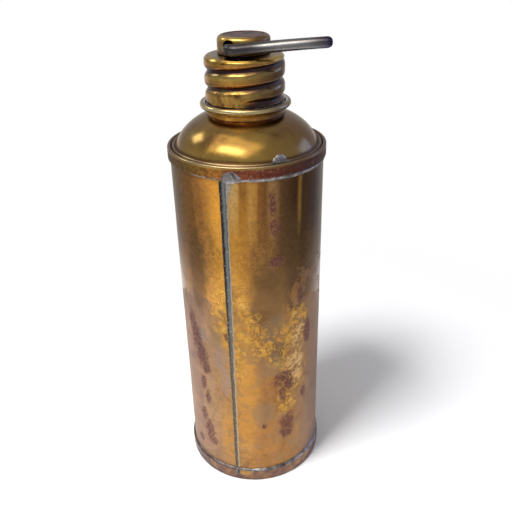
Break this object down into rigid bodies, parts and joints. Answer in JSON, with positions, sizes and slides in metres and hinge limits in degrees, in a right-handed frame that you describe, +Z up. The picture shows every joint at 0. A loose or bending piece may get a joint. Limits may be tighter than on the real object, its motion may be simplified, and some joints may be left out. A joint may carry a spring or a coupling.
{
  "type": "screw-top brass hot-water bottle",
  "caption": "Tall soldered sheet-brass bottle with a domed shoulder, flared neck collar, rolled-thread screw cap and a swinging steel lever on its boss.",
  "frame": {"origin": "centre of the base ring, on the surface that the bottle stands on", "axes": "+Z up along the bottle's axis; -Y towards the front; +X to the right, the way the lever points"},
  "size_m": [0.0866, 0.0866, 0.2697],
  "materials": {
    "body_brass": "old sheet brass with brown, orange and purple oxide patina",
    "shoulder_brass": "aged satin brass, polished on the dome",
    "cap_brass": "dark olive-gold brass with blackened grooves",
    "boss_brass": "red-brown oxidised brass",
    "solder": "dull grey soft solder",
    "steel": "dark worn steel",
    "washer_leather": "waxed leather"
  },
  "bodies": {
    "flask": {"body_tube": "body_brass", "side_seam_solder": "solder", "base_pan": "body_brass", "base_solder_ring": "solder", "seam_foot_solder": "solder", "shoulder": "shoulder_brass", "shoulder_solder_ring": "solder", "seam_top_solder": "solder", "shoulder_solder_patch": "solder", "neck_collar": "cap_brass", "lip_wire": "steel", "collar_solder_ring": "solder", "lip_solder_ring": "solder", "neck_sleeve": "cap_brass", "neck_solder_ring": "solder"},
    "seal": {"sealing_washer": "washer_leather", "washer_carrier": "cap_brass"},
    "stopper": {"stopper_shell": "cap_brass", "stopper_boss": "boss_brass", "backing_washer": "cap_brass", "spigot_nut": "cap_brass"},
    "lever": {"lever_rod": "steel"}
  },
  "joints": [
    {"name": "stopper_rise", "type": "slide", "parent": "flask", "child": "seal", "axis": [0, 0, 1], "range_m": [0, 0.02175]},
    {"name": "stopper_turn", "type": "hinge", "parent": "seal", "child": "stopper", "pos_m": [0, 0, 0.25], "axis": [0, 0, 1], "range_deg": [0, 900]},
    {"name": "lever_swing", "type": "hinge", "parent": "stopper", "child": "lever", "pos_m": [0, 0, 0.2637], "axis": [-0.5592, -0.829, 0], "range_deg": [0, 170]}
  ],
  "couplings": [
    {"joint": "stopper_rise", "follows": "stopper_turn", "m_per_rad": 0.0013846}
  ]
}
